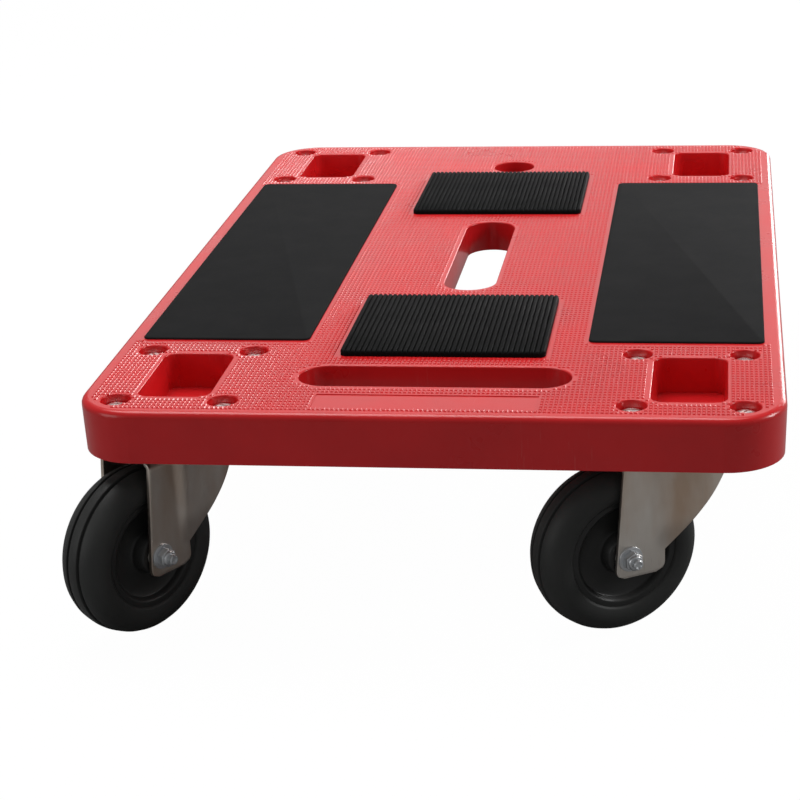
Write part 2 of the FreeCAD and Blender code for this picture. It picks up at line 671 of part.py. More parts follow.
def main():
    """Write every node of the dolly."""
    os.makedirs("parts", exist_ok=True)
    save("deck", deck())
    save("side_pad_left", side_pad(-1))
    save("side_pad_right", side_pad(1))
    save("ribbed_pad_front", ribbed_pad(-1))
    save("ribbed_pad_rear", ribbed_pad(1))
    save_casters()


main()
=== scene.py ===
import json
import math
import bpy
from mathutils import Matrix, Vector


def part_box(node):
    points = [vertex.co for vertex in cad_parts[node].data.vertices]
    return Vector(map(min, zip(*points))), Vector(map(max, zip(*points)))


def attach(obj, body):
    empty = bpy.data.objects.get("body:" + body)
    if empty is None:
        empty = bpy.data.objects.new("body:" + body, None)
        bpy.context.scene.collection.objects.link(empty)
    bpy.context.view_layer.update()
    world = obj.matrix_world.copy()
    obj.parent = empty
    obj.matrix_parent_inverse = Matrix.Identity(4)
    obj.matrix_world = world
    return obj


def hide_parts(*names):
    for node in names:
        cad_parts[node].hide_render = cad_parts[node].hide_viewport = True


bl_info = {
    "name": "Furniture Dolly",
    "version": (1, 0, 0),
    "blender": (4, 5, 0),
    "location": "View3D > Sidebar > Dolly",
    "description": "Builds the looks of a moulded furniture dolly around its fixed frame",
    "category": "Object",
}

import bmesh
import bpy
from bpy.props import FloatProperty, FloatVectorProperty, IntProperty, PointerProperty
from mathutils import Euler, Matrix, Vector

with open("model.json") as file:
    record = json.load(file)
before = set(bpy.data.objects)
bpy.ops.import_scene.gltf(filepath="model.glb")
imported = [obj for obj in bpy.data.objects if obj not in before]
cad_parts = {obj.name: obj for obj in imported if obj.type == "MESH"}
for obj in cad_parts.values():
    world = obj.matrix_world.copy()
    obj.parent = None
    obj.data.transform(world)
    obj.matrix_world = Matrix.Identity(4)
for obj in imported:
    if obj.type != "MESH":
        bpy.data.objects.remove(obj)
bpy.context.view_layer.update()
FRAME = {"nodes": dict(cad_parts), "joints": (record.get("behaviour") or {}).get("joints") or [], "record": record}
JOINTS = {joint["name"]: joint for joint in FRAME["joints"]}
CORNERS = ("front_left", "front_right", "rear_left", "rear_right")
MM = 0.001


# ---------------------------------------------------------------- settings


def length(name, description, default):
    """A size in metres."""
    return FloatProperty(name=name, description=description, default=default, min=0.0,
                         subtype="DISTANCE", unit="LENGTH")


def colour(name, description, default):
    """A colour, linear red, green and blue."""
    return FloatVectorProperty(name=name, description=description, default=default,
                               size=3, min=0.0, max=1.0, subtype="COLOR")


class DollyDeckSettings(bpy.types.PropertyGroup):
    """Sizes of the grip studs on the deck."""

    pitch_across: length("Pitch across", "Stud spacing across the deck", 2.62 * MM)
    pitch_along: length("Pitch along", "Stud spacing from front to rear", 3.93 * MM)
    stud_height: length("Stud height", "Height of a stud above the deck", 0.5 * MM)
    stud_width: length("Stud width", "Width of a stud at its foot, across the deck", 1.95 * MM)
    stud_length: length("Stud length", "Length of a stud at its foot, front to rear", 3.5 * MM)
    corner: length("Corner", "Corner radius of the deck in plan", 34.0 * MM)
    edge_margin: length("Edge margin", "Smooth border inside the deck's edge", 6.5 * MM)
    rim_margin: length("Rim margin", "Smooth border round pads and openings", 2.4 * MM)


class DollyPadSettings(bpy.types.PropertyGroup):
    """Sizes of the rubber pads."""

    corner: length("Corner", "Corner radius of a pad in plan", 4.0 * MM)
    edge: length("Edge", "Rounding of a pad's upper edge", 0.8 * MM)
    ridges: IntProperty(name="Ridges", description="Ridges on a ribbed pad", default=39, min=4)
    ridge_height: length("Ridge height", "Height of a ridge above its groove", 1.5 * MM)


class DollyCasterSettings(bpy.types.PropertyGroup):
    """Sizes of the casters that the frame doesn't give."""

    sheet: length("Sheet", "Thickness of the fork's sheet steel", 2.5 * MM)
    fork_bend: length("Fork bend", "Radius of the bend at the top of a leg", 4.0 * MM)
    crease: length("Crease", "How far the front of a leg is pressed outwards", 2.0 * MM)
    nut_flats: length("Nut size", "Nut and bolt head size across the flats", 10.0 * MM)


class DollyFinishSettings(bpy.types.PropertyGroup):
    """Colours of the finishes."""

    plastic: colour("Deck plastic", "Moulded deck", (0.66, 0.012, 0.015))
    rubber: colour("Pad rubber", "Smooth and ribbed pads", (0.014, 0.014, 0.0145))
    tyre: colour("Tyre rubber", "Solid tyres", (0.032, 0.033, 0.032))
    zinc: colour("Zinc plate", "Forks and plates", (0.74, 0.69, 0.63))
    bright: colour("Bright steel", "Nuts, bolts, washers and balls", (0.66, 0.68, 0.69))
    # The screw heads are zinc plate; their pink tint is a painted reflection of the red deck round them.
    screw: colour("Screw", "Heads of the deck screws", (0.95, 0.78, 0.76))


class DollyStageSettings(bpy.types.PropertyGroup):
    """Camera and light."""

    camera_place: FloatVectorProperty(name="Camera place", description="Where the camera stands",
                                      default=(0.1639, -1.3219, 0.5516), size=3,
                                      subtype="TRANSLATION", unit="LENGTH")
    camera_turn: FloatVectorProperty(name="Camera turn", description="Turn of the camera",
                                     default=(1.19948, 0.03842, 0.13022), size=3,
                                     subtype="EULER", unit="ROTATION")
    lens: FloatProperty(name="Lens", description="Focal length", default=91.6, unit="CAMERA")
    shift_across: FloatProperty(name="Shift across", description="Sideways lens shift",
                                default=-0.0556)
    shift_up: FloatProperty(name="Shift up", description="Upward lens shift", default=0.0046)
    key_power: FloatProperty(name="Key light", description="Power of the overhead softbox",
                             default=26.0, unit="POWER")


# ---------------------------------------------------------------- mesh helpers


def new_piece(name, mesh_bm, body, material, smooth=40.0, replaces=()):
    """Turn a bmesh into a finished piece that rides on a body."""
    mesh = bpy.data.meshes.new(name)
    mesh_bm.to_mesh(mesh)
    mesh_bm.free()
    mesh.shade_smooth()
    mesh.set_sharp_from_angle(angle=math.radians(smooth))
    piece = bpy.data.objects.new(name, mesh)
    bpy.context.scene.collection.objects.link(piece)
    mesh.materials.append(material)
    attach(piece, body)
    if replaces:
        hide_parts(*replaces)
    return piece


def sharp_edges(mesh_bm, angle):
    """Edges where the surface turns by more than an angle in degrees."""
    limit = math.radians(angle)
    return [e for e in mesh_bm.edges if e.is_manifold and e.calc_face_angle(0.0) > limit]


def bevel_edges(mesh_bm, edges, offset, segments=2):
    """Round some edges."""
    bmesh.ops.bevel(mesh_bm, geom=edges, offset=offset, offset_type="OFFSET", segments=segments,
                    profile=0.5, affect="EDGES", clamp_overlap=True, material=-1)


def chain(mesh_bm, points, closed):
    """Wire through points given as (radius, height)."""
    verts = [mesh_bm.verts.new((radius, 0.0, height)) for radius, height in points]
    pairs = list(zip(verts, verts[1:]))
    if closed:
        pairs.append((verts[-1], verts[0]))
    for pair in pairs:
        mesh_bm.edges.new(pair)
    return verts


def lathe(points, steps, closed=True, rounds=()):
    """Spin a profile about Z; rounds gives (point number, radius) of softened corners."""
    made = bmesh.new()
    verts = chain(made, points, closed)
    for number, radius in rounds:
        bmesh.ops.bevel(made, geom=[verts[number]], offset=radius, offset_type="OFFSET",
                        segments=4, profile=0.5, affect="VERTICES", material=-1)
    outline = list(made.verts) + list(made.edges)
    bmesh.ops.spin(made, geom=outline, cent=(0, 0, 0), axis=(0, 0, 1), angle=2 * math.pi,
                   steps=steps, use_merge=True, use_duplicate=False)
    bmesh.ops.remove_doubles(made, verts=made.verts, dist=1e-6)
    bmesh.ops.recalc_face_normals(made, faces=made.faces)
    return made


def mirrored(side, soft, radius):
    """Whole section from its upper half, with the corners to soften in both halves."""
    profile = list(side) + [(r, -z) for r, z in reversed(side)]
    rounds = [(n, radius) for first in soft for n in (first, len(profile) - 1 - first)]
    return profile, rounds


def block(width, depth, height, centre):
    """Box as a bmesh, around a centre."""
    made = bmesh.new()
    bmesh.ops.create_cube(made, size=1.0)
    bmesh.ops.scale(made, vec=(width, depth, height), verts=made.verts)
    bmesh.ops.translate(made, vec=centre, verts=made.verts)
    return made


def join_into(target, other):
    """Add a bmesh to another and free it."""
    holder = bpy.data.meshes.new("holder")
    other.to_mesh(holder)
    other.free()
    target.from_mesh(holder)
    bpy.data.meshes.remove(holder)


def put(mesh_bm, matrix):
    """Move a bmesh by a matrix."""
    bmesh.ops.transform(mesh_bm, matrix=matrix, verts=mesh_bm.verts)
    return mesh_bm


class Caster:
    """Places of one caster, read from the joints."""

    def __init__(self, corner):
        self.corner = corner
        swivel = Vector(JOINTS[f"swivel_{corner}"]["pos_m"])
        axle = Vector(JOINTS[f"roll_{corner}"]["pos_m"])
        reach = Vector((axle.x - swivel.x, axle.y - swivel.y))
        self.rake = reach.length
        self.axle_height = axle.z
        heading = math.atan2(reach.y, reach.x)
        place = Matrix.Translation((swivel.x, swivel.y, 0.0))
        self.fork_space = place @ Matrix.Rotation(heading, 4, "Z")
        along = Matrix.Translation((self.rake, 0.0, self.axle_height))
        self.axle_space = self.fork_space @ along @ Matrix.Rotation(-math.pi / 2, 4, "X")
        self.fork_body = f"fork_{corner}"
        self.wheel_body = f"wheel_{corner}"
        self.fork_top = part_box(self.node("fork"))[1].z
        self.leg_inner = self.reach_along_axle("axle_sleeve")[1]

    def node(self, piece):
        """Name of a CAD node of this caster."""
        return f"{piece}_{self.corner}"

    def reach_along_axle(self, piece):
        """Lowest and highest place of a node along the axle, from the middle of the wheel."""
        middle = self.axle_space.inverted()
        heights = [(middle @ v.co).z for v in FRAME["nodes"][self.node(piece)].data.vertices]
        return min(heights), max(heights)

    def radius_of(self, piece):
        """Outer radius of a node about the axle."""
        middle = self.axle_space.inverted()
        places = [middle @ v.co for v in FRAME["nodes"][self.node(piece)].data.vertices]
        return max(math.hypot(place.x, place.y) for place in places)


# ---------------------------------------------------------------- shader helpers


def socket(tree, name, kind, is_input, default=None):
    """Add one socket to a node group."""
    in_out = "INPUT" if is_input else "OUTPUT"
    made = tree.interface.new_socket(name=name, in_out=in_out, socket_type=kind)
    if default is not None:
        made.default_value = default
    return made


def new_group(name, inputs, outputs):
    """Empty node group with named sockets, given as (name, type, default)."""
    tree = bpy.data.node_groups.new(name, "ShaderNodeTree")
    for label, kind, default in inputs:
        socket(tree, label, kind, True, default)
    for label, kind in outputs:
        socket(tree, label, kind, False)
    start = tree.nodes.new("NodeGroupInput")
    end = tree.nodes.new("NodeGroupOutput")
    return tree, start, end


def noise(tree, vector, scale, detail=4.0, roughness=0.55):
    """Noise texture on a vector; scale may be a socket."""
    node = tree.nodes.new("ShaderNodeTexNoise")
    node.inputs["Detail"].default_value = detail
    node.inputs["Roughness"].default_value = roughness
    tree.links.new(vector, node.inputs["Vector"])
    if isinstance(scale, bpy.types.NodeSocket):
        tree.links.new(scale, node.inputs["Scale"])
    else:
        node.inputs["Scale"].default_value = scale
    return node.outputs["Fac"]


def remap(tree, value, low, high, to_low=0.0, to_high=1.0):
    """Clamped change of range."""
    node = tree.nodes.new("ShaderNodeMapRange")
    node.inputs["From Min"].default_value = low
    node.inputs["From Max"].default_value = high
    node.inputs["To Min"].default_value = to_low
    node.inputs["To Max"].default_value = to_high
    tree.links.new(value, node.inputs["Value"])
    return node.outputs["Result"]


def maths(tree, operation, first, second=None):
    """Math node on sockets or numbers."""
    node = tree.nodes.new("ShaderNodeMath")
    node.operation = operation
    for index, value in enumerate((first, second)):
        if value is None:
            continue
        if isinstance(value, bpy.types.NodeSocket):
            tree.links.new(value, node.inputs[index])
        else:
            node.inputs[index].default_value = value
    return node.outputs[0]


def mix_colour(tree, factor, first, second):
    """Mix of two colours; each may be a socket or a colour."""
    node = tree.nodes.new("ShaderNodeMix")
    node.data_type = "RGBA"
    tree.links.new(factor, node.inputs["Factor"])
    for name, value in (("A", first), ("B", second)):
        target = [s for s in node.inputs if s.name == name and s.type == "RGBA"][0]
        if isinstance(value, bpy.types.NodeSocket):
            tree.links.new(value, target)
        else:
            target.default_value = (*value, 1.0)
    return [s for s in node.outputs if s.type == "RGBA"][0]


def stretched(tree, vector, scale, turn=(0.0, 0.0, 0.0)):
    """Vector through a Mapping node."""
    node = tree.nodes.new("ShaderNodeMapping")
    node.inputs["Scale"].default_value = scale
    node.inputs["Rotation"].default_value = turn
    tree.links.new(vector, node.inputs["Vector"])
    return node.outputs["Vector"]


def grain_group():
    """Fine moulded grain: a height and a slow variation for tone."""
    inputs = (("Vector", "NodeSocketVector", None), ("Scale", "NodeSocketFloat", 900.0))
    tree, start, end = new_group("moulded_grain", inputs,
                                 (("Height", "NodeSocketFloat"), ("Tone", "NodeSocketFloat")))
    fine = noise(tree, start.outputs["Vector"], start.outputs["Scale"], 3.0, 0.6)
    slow = noise(tree, start.outputs["Vector"], 14.0, 4.0, 0.6)
    tree.links.new(fine, end.inputs["Height"])
    tree.links.new(slow, end.inputs["Tone"])
    return tree


def scuff_group():
    """Thin crossing scratches and rubbed patches, as one mask."""
    inputs = (("Vector", "NodeSocketVector", None), ("Amount", "NodeSocketFloat", 0.5))
    tree, start, end = new_group("scuffs", inputs, (("Mask", "NodeSocketFloat"),))
    vector = start.outputs["Vector"]
    patches = remap(tree, noise(tree, vector, 9.0, 5.0, 0.65), 0.52, 0.72)
    total = None
    for turn, stretch in ((0.5, 14.0), (-0.9, 20.0), (1.9, 9.0)):
        squeezed = stretched(tree, vector, (stretch * 14, stretch, stretch), (0, 0, turn))
        lines = noise(tree, squeezed, 4.0, 2.0, 0.5)
        mask = remap(tree, lines, 0.68, 0.74)
        total = mask if total is None else maths(tree, "MAXIMUM", total, mask)
    both = maths(tree, "MULTIPLY", total, patches)
    result = maths(tree, "MULTIPLY", both, start.outputs["Amount"])
    tree.links.new(result, end.inputs["Mask"])
    return tree


def dust_group():
    """Fine dust that lies on upward faces."""
    inputs = (("Vector", "NodeSocketVector", None), ("Amount", "NodeSocketFloat", 0.3))
    tree, start, end = new_group("dust", inputs, (("Mask", "NodeSocketFloat"),))
    geometry = tree.nodes.new("ShaderNodeNewGeometry")
    split = tree.nodes.new("ShaderNodeSeparateXYZ")
    tree.links.new(geometry.outputs["Normal"], split.inputs["Vector"])
    upward = remap(tree, split.outputs["Z"], 0.2, 1.0)
    cloud = remap(tree, noise(tree, start.outputs["Vector"], 40.0, 6.0, 0.7), 0.4, 0.75)
    both = maths(tree, "MULTIPLY", upward, cloud)
    result = maths(tree, "MULTIPLY", both, start.outputs["Amount"])
    tree.links.new(result, end.inputs["Mask"])
    return tree


class Finish:
    """One material being built: a Principled BSDF and helpers around it."""

    def __init__(self, name):
        self.material = bpy.data.materials.new(name)
        self.material.use_nodes = True
        self.tree = self.material.node_tree
        self.shader = self.tree.nodes["Principled BSDF"]
        coordinates = self.tree.nodes.new("ShaderNodeTexCoord")
        self.vector = coordinates.outputs["Object"]

    def set(self, **values):
        """Constants on the shader; names use underscores for spaces."""
        for name, value in values.items():
            self.shader.inputs[name.replace("_", " ")].default_value = value

    def link(self, value, name):
        """Feed one of the shader's inputs."""
        self.tree.links.new(value, self.shader.inputs[name])

    def group(self, name, **values):
        """Place a shared node group, fed with Object coordinates."""
        node = self.tree.nodes.new("ShaderNodeGroup")
        node.node_tree = bpy.data.node_groups[name]
        self.tree.links.new(self.vector, node.inputs["Vector"])
        for label, value in values.items():
            node.inputs[label].default_value = value
        return node.outputs

    def bump(self, height, distance, strength=1.0, normal=None):
        """Bump node; returns its normal."""
        node = self.tree.nodes.new("ShaderNodeBump")
        node.inputs["Strength"].default_value = strength
        node.inputs["Distance"].default_value = distance
        self.tree.links.new(height, node.inputs["Height"])
        if normal is not None:
            self.tree.links.new(normal, node.inputs["Normal"])
        return node.outputs["Normal"]


def lighter(base, factor, grey=0.0):
    """A colour scaled and moved towards grey."""
    return tuple(min(1.0, channel * factor + grey) for channel in base)


def plastic_finish(name, base, roughness):
    """Glossy moulded plastic with fine grain and rubbed spots."""
    finish = Finish(name)
    finish.set(Roughness=roughness, Specular_IOR_Level=0.32, IOR=1.49, Coat_Weight=0.25,
               Coat_Roughness=0.10)
    grain = finish.group("moulded_grain", Scale=1400.0)
    scuffs = finish.group("scuffs", Amount=0.5)
    tone = remap(finish.tree, grain["Tone"], 0.35, 0.65)
    body = mix_colour(finish.tree, tone, lighter(base, 0.93), lighter(base, 1.06))
    rubbed = mix_colour(finish.tree, scuffs["Mask"], body, lighter(base, 0.9, 0.12))
    finish.link(rubbed, "Base Color")
    gloss = remap(finish.tree, grain["Tone"], 0.3, 0.7, roughness - 0.05, roughness + 0.07)
    worn = maths(finish.tree, "ADD", gloss, maths(finish.tree, "MULTIPLY", scuffs["Mask"], 0.25))
    finish.link(worn, "Roughness")
    finish.link(finish.bump(grain["Height"], 0.00006, 0.5), "Normal")
    return finish.material


def rubber_finish(name, base, roughness, grain_scale, depth, dust_amount, gloss):
    """Matt rubber with a fine pebbled surface and dust on top."""
    finish = Finish(name)
    finish.set(Specular_IOR_Level=gloss, IOR=1.5)
    grain = finish.group("moulded_grain", Scale=grain_scale)
    dust = finish.group("dust", Amount=dust_amount)
    tone = remap(finish.tree, grain["Tone"], 0.3, 0.7)
    body = mix_colour(finish.tree, tone, lighter(base, 0.88), lighter(base, 1.15))
    dusty = mix_colour(finish.tree, dust["Mask"], body, (0.20, 0.19, 0.18))
    finish.link(dusty, "Base Color")
    finish.link(remap(finish.tree, grain["Tone"], 0.3, 0.7, roughness - 0.06, roughness + 0.06),
                "Roughness")
    finish.link(finish.bump(grain["Height"], depth, 0.7), "Normal")
    return finish.material


def metal_finish(name, base, tint, roughness, brush=(1.0, 1.0, 1.0), depth=0.00002):
    """Plated steel: clouded tint, faint brushing and handling marks."""
    finish = Finish(name)
    finish.set(Metallic=1.0)
    cloud = noise(finish.tree, stretched(finish.tree, finish.vector, brush), 26.0, 4.0, 0.55)
    body = mix_colour(finish.tree, remap(finish.tree, cloud, 0.35, 0.65), base, tint)
    scuffs = finish.group("scuffs", Amount=0.6)
    marked = mix_colour(finish.tree, scuffs["Mask"], body, lighter(base, 0.6))
    finish.link(marked, "Base Color")
    streak = noise(finish.tree, stretched(finish.tree, finish.vector, brush), 420.0, 3.0, 0.6)
    gloss = remap(finish.tree, streak, 0.3, 0.7, roughness - 0.06, roughness + 0.09)
    finish.link(gloss, "Roughness")
    finish.link(finish.bump(streak, depth, 0.5), "Normal")
    return finish.material


def make_finishes(settings):
    """All finishes of the dolly by name."""
    grain_group()
    scuff_group()
    dust_group()
    zinc = tuple(settings.zinc)
    bright = tuple(settings.bright)
    screw = tuple(settings.screw)
    plastic_finish("deck_plastic", tuple(settings.plastic), 0.30)
    rubber_finish("smooth_pad_rubber", tuple(settings.rubber), 0.80, 1600.0, 0.00005, 0.02,
                  0.05)
    rubber_finish("ribbed_pad_rubber", lighter(settings.rubber, 0.4), 0.60, 1200.0, 0.00005, 0.02,
                  0.04)
    rubber_finish("tyre_rubber", tuple(settings.tyre), 0.55, 700.0, 0.00008, 0.10, 0.35)
    rubber_finish("rim_plastic", lighter(settings.tyre, 0.6), 0.42, 900.0, 0.00005, 0.06, 0.4)
    metal_finish("zinc_sheet", zinc, (0.55, 0.41, 0.31), 0.34, (1.0, 1.0, 0.35))
    metal_finish("zinc_plate", zinc, (0.42, 0.41, 0.40), 0.38)
    metal_finish("bright_steel", bright, (0.55, 0.56, 0.55), 0.24)
    metal_finish("polished_steel", lighter(bright, 1.15), bright, 0.10)
    # Zinc-plated screw heads: the pink base colour and tint are a painted reflection of the red deck.
    metal_finish("screw_zinc_with_painted_reflection", screw, lighter(screw, 0.85), 0.27)
    plastic_finish("nylon", (0.70, 0.68, 0.62), 0.42)


def finish(name):
    """A finish made by the first operator."""
    return bpy.data.materials[name]


def dress(node, name):
    """Give a carried-over CAD node a finish."""
    piece = FRAME["nodes"][node]
    if not piece.material_slots:
        piece.data.materials.append(finish(name))
    for slot in piece.material_slots:
        slot.material = finish(name)


# ---------------------------------------------------------------- operators


class DOLLY_OT_finishes(bpy.types.Operator):
    """Make the finishes and give them to the pieces that keep their CAD shape"""

    bl_idname = "dolly.finishes"
    bl_label = "Finishes"

    def execute(self, context):
        make_finishes(context.scene.dolly_finish)
        dress("deck", "deck_plastic")
        kept = {"caster_plate": "zinc_plate", "king_pin": "bright_steel",
                "swivel_balls": "polished_steel", "deck_nuts": "bright_steel",
                "axle_sleeve": "bright_steel", "wheel_bush": "nylon"}
        for corner in CORNERS:
            for piece, name in kept.items():
                dress(f"{piece}_{corner}", name)
        return {"FINISHED"}


def in_rounded_rectangle(x, y, half_x, half_y, corner):
    """Whether a place lies in a rectangle with round corners around the origin."""
    over_x = max(0.0, abs(x) - (half_x - corner))
    over_y = max(0.0, abs(y) - (half_y - corner))
    return abs(x) <= half_x and abs(y) <= half_y and math.hypot(over_x, over_y) <= corner


class StudField:
    """Where the deck's top carries grip studs."""

    # Width and depth in plan of the openings; the boxes in the record are a little smaller
    round_ended = {"hand_slot": (158.5, 33.0), "centre_slot": (34.0, 156.0),
                   "hang_hole": (31.0, 31.0)}
    pocket = (42.5, 71.0)
    pocket_corner = 7.5 * MM
    pad_corner = 6.0 * MM
    well_radius = 8.6 * MM
    screw_head_radius = 7.0 * MM
    label_inset = 22.0 * MM     # front edge of the deck to the middle of the smooth strip
    label_size = Vector((126.5, 21.5, 0.0)) * MM
    label_corner = 1.0 * MM

    def __init__(self, settings):
        low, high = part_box("deck")
        self.half_x = (high.x - low.x) / 2 - settings.edge_margin
        self.half_y = (high.y - low.y) / 2 - settings.edge_margin
        self.corner = settings.corner - settings.edge_margin
        self.top = high.z
        self.rim = settings.rim_margin
        self.blanks = []
        for node in ("side_pad_left", "side_pad_right", "ribbed_pad_front", "ribbed_pad_rear"):
            pad_low, pad_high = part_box(node)
            self.add_blank((pad_low + pad_high) / 2, pad_high - pad_low, self.pad_corner, 1.2)
        for opening in FRAME["record"]["physics"]["openings"]:
            if opening["name"] != "underside":
                box_low, box_high = (Vector(corner) for corner in opening["box_m"])
                self.add_opening(opening["name"], (box_low + box_high) / 2)
        for corner in CORNERS:
            self.add_wells(corner)
        label_middle = Vector((0.0, low.y + self.label_inset, 0.0))
        self.add_blank(label_middle, self.label_size, self.label_corner, 0.3)

    def add_blank(self, middle, size, corner, rim_share=1.0):
        """Keep a rectangle clear of studs."""
        grow = self.rim * rim_share
        self.blanks.append((middle.x, middle.y, size.x / 2 + grow, size.y / 2 + grow, corner))

    def add_opening(self, name, middle):
        """Keep an opening clear."""
        width, depth = (side * MM for side in self.round_ended.get(name, self.pocket))
        corner = min(width, depth) / 2 if name in self.round_ended else self.pocket_corner
        self.add_blank(middle, Vector((width, depth, 0.0)), corner + self.rim)

    def add_wells(self, corner):
        """Keep the four screw wells over a caster clear."""
        low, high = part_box(f"deck_screws_{corner}")
        head = self.screw_head_radius
        well = self.well_radius + self.rim * 0.6
        for x in (low.x + head, high.x - head):
            for y in (low.y + head, high.y - head):
                self.blanks.append((x, y, well, well, well))

    def bears_stud(self, x, y):
        """Whether a stud stands at this place."""
        if not in_rounded_rectangle(x, y, self.half_x, self.half_y, self.corner):
            return False
        for mid_x, mid_y, half_x, half_y, corner in self.blanks:
            if in_rounded_rectangle(x - mid_x, y - mid_y, half_x, half_y, corner):
                return False
        return True


class DOLLY_OT_grip_studs(bpy.types.Operator):
    """Cover the deck's top with its moulded grip studs"""

    bl_idname = "dolly.grip_studs"
    bl_label = "Grip studs"

    def execute(self, context):
        settings = context.scene.dolly_deck
        field = StudField(settings)
        across = settings.pitch_across
        along = settings.pitch_along
        columns = int(field.half_x / across)
        rows = int(field.half_y / along)
        studs = bmesh.new()
        bmesh.ops.create_cone(studs, cap_ends=True, segments=4, radius1=1.0, radius2=0.62,
                              depth=1.0)
        bmesh.ops.rotate(studs, cent=(0, 0, 0), verts=studs.verts,
                         matrix=Matrix.Rotation(math.pi / 4, 3, "Z"))
        foot = [f for f in studs.faces if f.normal.z < -0.9]
        bmesh.ops.delete(studs, geom=foot, context="FACES_ONLY")
        foot_size = (settings.stud_width / math.sqrt(2), settings.stud_length / math.sqrt(2),
                     settings.stud_height + 0.1 * MM)
        bmesh.ops.scale(studs, vec=foot_size, verts=studs.verts)
        start = Vector((-columns * across, -rows * along, field.top + settings.stud_height / 2))
        bmesh.ops.translate(studs, vec=start, verts=studs.verts)
        self.repeat(studs, Vector((across, 0, 0)), 2 * columns + 1)
        self.repeat(studs, Vector((0, along, 0)), 2 * rows + 1)
        self.clear(studs, field, across, along)
        new_piece("grip_studs", studs, "deck", finish("deck_plastic"), smooth=20.0)
        return {"FINISHED"}

    def repeat(self, studs, step, count):
        """Copy everything along a step until there are count of it."""
        made = 1
        while made < count:
            share = min(made, count - made)
            source = list(studs.verts) + list(studs.edges) + list(studs.faces)
            if share < made:
                source = self.part_of(studs, step, share)
            copies = bmesh.ops.duplicate(studs, geom=source)
            moved = [g for g in copies["geom"] if isinstance(g, bmesh.types.BMVert)]
            bmesh.ops.translate(studs, vec=step * made, verts=moved)
            made += share

    def part_of(self, studs, step, share):
        """The first copies only, for the last and shorter doubling."""
        axis = 0 if step.x else 1
        low = min(v.co[axis] for v in studs.verts)
        limit = low + step.length * (share - 0.1)
        verts = {v for v in studs.verts if v.co[axis] < limit}
        edges = [e for e in studs.edges if all(v in verts for v in e.verts)]
        faces = [f for f in studs.faces if all(v in verts for v in f.verts)]
        return list(verts) + edges + faces

    def clear(self, studs, field, across, along):
        """Take away the studs that would stand on a pad, opening or border."""
        gone = []
        for vert in studs.verts:
            x = round(vert.co.x / across) * across
            y = round(vert.co.y / along) * along
            if not field.bears_stud(x, y):
                gone.append(vert)
        bmesh.ops.delete(studs, geom=gone, context="VERTS")


class DOLLY_OT_side_pads(bpy.types.Operator):
    """Lay the smooth rubber pads in their recesses"""

    bl_idname = "dolly.side_pads"
    bl_label = "Side pads"

    def execute(self, context):
        settings = context.scene.dolly_pads
        for node in ("side_pad_left", "side_pad_right"):
            low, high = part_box(node)
            size = high - low
            pad = block(size.x, size.y, size.z, (low + high) / 2)
            upright = [e for e in pad.edges
                       if abs(e.verts[0].co.z - e.verts[1].co.z) > size.z / 2]
            bevel_edges(pad, upright, settings.corner, 6)
            rim = [e for e in pad.edges if min(v.co.z for v in e.verts) > high.z - 0.1 * MM
                   and len({round(f.normal.z) for f in e.link_faces}) > 1]
            bevel_edges(pad, rim, settings.edge, 3)
            new_piece(f"{node}_sheet", pad, "deck", finish("smooth_pad_rubber"), replaces=[node])
        return {"FINISHED"}


class DOLLY_OT_ribbed_pads(bpy.types.Operator):
    """Make the thick pads with rounded ridges"""

    bl_idname = "dolly.ribbed_pads"
    bl_label = "Ribbed pads"

    steps = 8       # faces across one ridge
    rows = 10       # faces along a ridge

    def execute(self, context):
        settings = context.scene.dolly_pads
        for node in ("ribbed_pad_front", "ribbed_pad_rear"):
            low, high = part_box(node)
            pad = self.ridged_block(settings, high - low)
            bmesh.ops.translate(pad, vec=(low + high) / 2, verts=pad.verts)
            new_piece(f"{node}_rubber", pad, "deck", finish("ribbed_pad_rubber"), smooth=50.0,
                      replaces=[node])
        return {"FINISHED"}

    def ridged_block(self, settings, size):
        """Slab around the origin whose upper face is waved into ridges."""
        pad = bmesh.new()
        bmesh.ops.create_grid(pad, x_segments=settings.ridges * self.steps,
                              y_segments=self.rows, size=0.5)
        bmesh.ops.scale(pad, vec=(size.x, size.y, 1.0), verts=pad.verts)
        pitch = size.x / settings.ridges
        for vert in pad.verts:
            phase = (vert.co.x + size.x / 2) / pitch
            across = abs(phase - math.floor(phase) - 0.5) * 2
            wave = math.sqrt(max(0.0, 1.0 - min(1.0, across * 1.12) ** 3))
            row = round((vert.co.y / size.y + 0.5) * self.rows)
            inner = min(row, self.rows - row)
            end = (0.0, 0.45, 0.8, 0.95)[inner] if inner < 4 else 1.0
            inset = (0.0, 0.25, 0.7, 1.4)[inner] * MM if inner < 4 else None
            if inset is not None:
                side = 1.0 if vert.co.y > 0 else -1.0
                vert.co.y = side * (size.y / 2 - inset)
            vert.co.y *= self.corner_share(vert.co.x, size, settings.corner)
            groove = size.z / 2 - settings.ridge_height
            vert.co.z = groove + (wave * end - (1.0 - end) * 0.25) * settings.ridge_height
        border = [e for e in pad.edges if e.is_boundary]
        walls = bmesh.ops.extrude_edge_only(pad, edges=border)
        for vert in (g for g in walls["geom"] if isinstance(g, bmesh.types.BMVert)):
            vert.co.z = -size.z / 2
        foot = [e for e in pad.edges if e.is_boundary]
        bmesh.ops.edgeloop_fill(pad, edges=foot)
        bmesh.ops.recalc_face_normals(pad, faces=pad.faces)
        return pad

    def corner_share(self, x, size, corner):
        """How much shorter the pad is at this place across, for its round corners."""
        over = max(0.0, abs(x) - (size.x / 2 - corner))
        drop = corner - math.sqrt(max(0.0, corner ** 2 - over ** 2))
        return 1.0 - drop / (size.y / 2)


